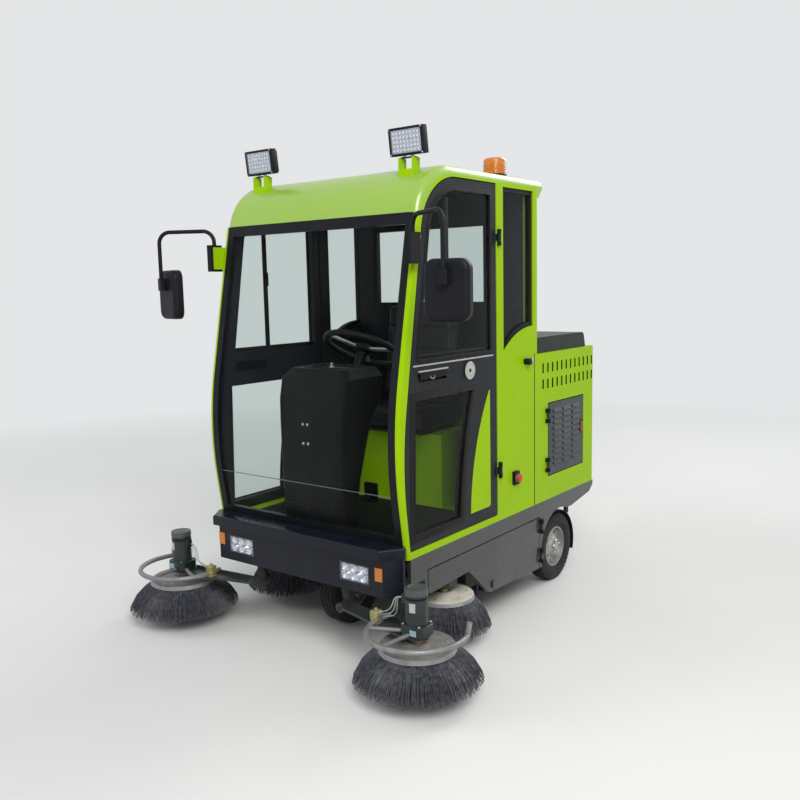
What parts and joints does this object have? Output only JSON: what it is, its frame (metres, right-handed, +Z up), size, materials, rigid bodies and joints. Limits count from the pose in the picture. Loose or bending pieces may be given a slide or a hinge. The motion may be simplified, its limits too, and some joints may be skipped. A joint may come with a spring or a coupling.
{
  "type": "compact road sweeper",
  "caption": "Enclosed ride-on road sweeper with a glazed one-seat cab, side doors, swinging side brushes, a roller brush under the body, rear housing and dirt drawer.",
  "frame": {"origin": "on the ground under the middle of the machine's overall box", "axes": "+Z up, the front faces -Y, +X is the machine's own left"},
  "size_m": [1.896, 2.1246, 2.182],
  "materials": {
    "green_paint": "bright lime green gloss coat",
    "grey_paint": "dark grey satin coat",
    "frame_black": "black satin coat",
    "black_plastic": "fine-grained black plastic",
    "seal_rubber": "black rubber",
    "clear_glass": "clear safety glass",
    "tinted_glass": "smoked glass",
    "lamp_clear": "clear ribbed lens",
    "amber": "amber lens",
    "red_lens": "red lens",
    "bristle": "black nylon bristle",
    "tyre": "black road tyre",
    "wheel_steel": "silver coated pressed steel",
    "bare_steel": "worn zinc-coated steel",
    "motor_paint": "grey-green satin coat",
    "seat_vinyl": "black vinyl",
    "dash_plastic": "moulded charcoal plastic"
  },
  "bodies": {
    "chassis": {"chassis_frame": "grey_paint", "cab_sides": "green_paint", "cab_rear_wall": "green_paint", "cab_roof": "green_paint", "painted_brackets": "green_paint", "cab_floor": "green_paint", "windscreen_frame": "frame_black", "windscreen_glass": "clear_glass", "window_seals": "seal_rubber", "cab_glass": "tinted_glass", "bumper": "grey_paint", "head_lamps": "lamp_clear", "signal_lamps": "amber", "tail_lamps": "red_lens", "side_skirts": "grey_paint", "mudguards": "black_plastic", "rear_housing": "green_paint", "battery_pack": "frame_black", "fittings": "black_plastic", "work_lamps": "black_plastic", "mirror_arms": "black_plastic", "mirror_heads": "black_plastic", "seat_frame": "frame_black", "seat_pads": "seat_vinyl", "dash_pedestal": "dash_plastic", "brush_hood": "grey_paint"},
    "steering_wheel": {"steering_wheel": "black_plastic"},
    "fork": {"front_fork": "grey_paint"},
    "front_wheel": {"front_tyre": "tyre", "front_rim": "wheel_steel"},
    "main_roller": {"main_roller": "bristle"},
    "filter_lid": {"filter_lid": "frame_black"},
    "rear_door": {"rear_door": "green_paint"},
    "hopper": {"hopper": "grey_paint"},
    "rear_wheel_left": {"rear_tyre_left": "tyre", "rear_rim_left": "wheel_steel"},
    "door_left": {"door_frame_left": "grey_paint", "door_glass_left": "tinted_glass", "door_blade_left": "green_paint"},
    "brush_flap_left": {"brush_flap_left": "grey_paint"},
    "vent_door_left": {"vent_door_left": "grey_paint"},
    "outer_arm_left": {"outer_arm_left": "motor_paint", "brush_hoop_left": "bare_steel"},
    "outer_brush_left": {"outer_brush_left": "bristle"},
    "inner_arm_left": {"inner_arm_left": "motor_paint"},
    "inner_brush_left": {"inner_brush_left": "bristle"},
    "rear_wheel_right": {"rear_tyre_right": "tyre", "rear_rim_right": "wheel_steel"},
    "door_right": {"door_frame_right": "grey_paint", "door_glass_right": "tinted_glass", "door_blade_right": "green_paint"},
    "brush_flap_right": {"brush_flap_right": "grey_paint"},
    "vent_door_right": {"vent_door_right": "grey_paint"},
    "outer_arm_right": {"outer_arm_right": "motor_paint", "brush_hoop_right": "bare_steel"},
    "outer_brush_right": {"outer_brush_right": "bristle"},
    "inner_arm_right": {"inner_arm_right": "motor_paint"},
    "inner_brush_right": {"inner_brush_right": "bristle"}
  },
  "joints": [
    {"name": "steer", "type": "hinge", "parent": "chassis", "child": "fork", "pos_m": [0, -0.3875, 0.3], "axis": [0, 0, 1], "range_deg": [-45, 45]},
    {"name": "front_wheel_spin", "type": "hinge", "parent": "fork", "child": "front_wheel", "pos_m": [0, -0.3875, 0.175], "axis": [1, 0, 0], "continuous": true},
    {"name": "steering_wheel_turn", "type": "hinge", "parent": "chassis", "child": "steering_wheel", "pos_m": [0, -0.2495, 1.262], "axis": [0, 0.4695, 0.8829], "range_deg": [-360, 360]},
    {"name": "main_roller_spin", "type": "hinge", "parent": "chassis", "child": "main_roller", "pos_m": [0, 0.2005, 0.148], "axis": [1, 0, 0], "continuous": true},
    {"name": "filter_lid_open", "type": "hinge", "parent": "chassis", "child": "filter_lid", "pos_m": [0, 0.4125, 1.276], "axis": [1, 0, 0], "range_deg": [0, 70]},
    {"name": "rear_door_open", "type": "hinge", "parent": "chassis", "child": "rear_door", "pos_m": [0.414, 1.0515, 0.83], "axis": [0, 0, -1], "range_deg": [0, 110]},
    {"name": "hopper_slide", "type": "slide", "parent": "chassis", "child": "hopper", "axis": [0, 1, 0], "range_m": [0, 0.45]},
    {"name": "rear_wheel_spin_left", "type": "hinge", "parent": "chassis", "child": "rear_wheel_left", "pos_m": [0.487, 0.6505, 0.175], "axis": [1, 0, 0], "continuous": true},
    {"name": "door_open_left", "type": "hinge", "parent": "chassis", "child": "door_left", "pos_m": [0.561, 0.0355, 1.2], "axis": [0, 0, 1], "range_deg": [0, 85]},
    {"name": "brush_flap_open_left", "type": "hinge", "parent": "chassis", "child": "brush_flap_left", "pos_m": [0.561, 0.4345, 0.26], "axis": [0, 0, 1], "range_deg": [0, 100]},
    {"name": "vent_door_open_left", "type": "hinge", "parent": "chassis", "child": "vent_door_left", "pos_m": [0.561, 0.5045, 0.765], "axis": [0, 0, -1], "range_deg": [0, 110]},
    {"name": "outer_arm_lift_left", "type": "hinge", "parent": "chassis", "child": "outer_arm_left", "pos_m": [0.262, -0.7415, 0.234], "axis": [0, 1, 0], "range_deg": [0, 4.5]},
    {"name": "outer_brush_spin_left", "type": "hinge", "parent": "outer_arm_left", "child": "outer_brush_left", "pos_m": [0.69, -0.8045, 0.15], "axis": [0, 0, 1], "continuous": true},
    {"name": "inner_arm_lift_left", "type": "hinge", "parent": "chassis", "child": "inner_arm_left", "pos_m": [0.225, -0.3045, 0.238], "axis": [0, 1, 0], "range_deg": [0, 5.2]},
    {"name": "inner_brush_spin_left", "type": "hinge", "parent": "inner_arm_left", "child": "inner_brush_left", "pos_m": [0.47, -0.3045, 0.15], "axis": [0, 0, 1], "continuous": true},
    {"name": "rear_wheel_spin_right", "type": "hinge", "parent": "chassis", "child": "rear_wheel_right", "pos_m": [-0.487, 0.6505, 0.175], "axis": [1, 0, 0], "continuous": true},
    {"name": "door_open_right", "type": "hinge", "parent": "chassis", "child": "door_right", "pos_m": [-0.561, 0.0355, 1.2], "axis": [0, 0, -1], "range_deg": [0, 85]},
    {"name": "brush_flap_open_right", "type": "hinge", "parent": "chassis", "child": "brush_flap_right", "pos_m": [-0.561, 0.4345, 0.26], "axis": [0, 0, -1], "range_deg": [0, 100]},
    {"name": "vent_door_open_right", "type": "hinge", "parent": "chassis", "child": "vent_door_right", "pos_m": [-0.561, 0.5045, 0.765], "axis": [0, 0, 1], "range_deg": [0, 110]},
    {"name": "outer_arm_lift_right", "type": "hinge", "parent": "chassis", "child": "outer_arm_right", "pos_m": [-0.262, -0.7415, 0.234], "axis": [0, -1, 0], "range_deg": [0, 4.5]},
    {"name": "outer_brush_spin_right", "type": "hinge", "parent": "outer_arm_right", "child": "outer_brush_right", "pos_m": [-0.69, -0.8045, 0.15], "axis": [0, 0, 1], "continuous": true},
    {"name": "inner_arm_lift_right", "type": "hinge", "parent": "chassis", "child": "inner_arm_right", "pos_m": [-0.225, -0.3045, 0.238], "axis": [0, -1, 0], "range_deg": [0, 5.2]},
    {"name": "inner_brush_spin_right", "type": "hinge", "parent": "inner_arm_right", "child": "inner_brush_right", "pos_m": [-0.47, -0.3045, 0.15], "axis": [0, 0, 1], "continuous": true}
  ],
  "couplings": [
    {"joint": "steering_wheel_turn", "follows": "steer", "ratio": 8}
  ]
}
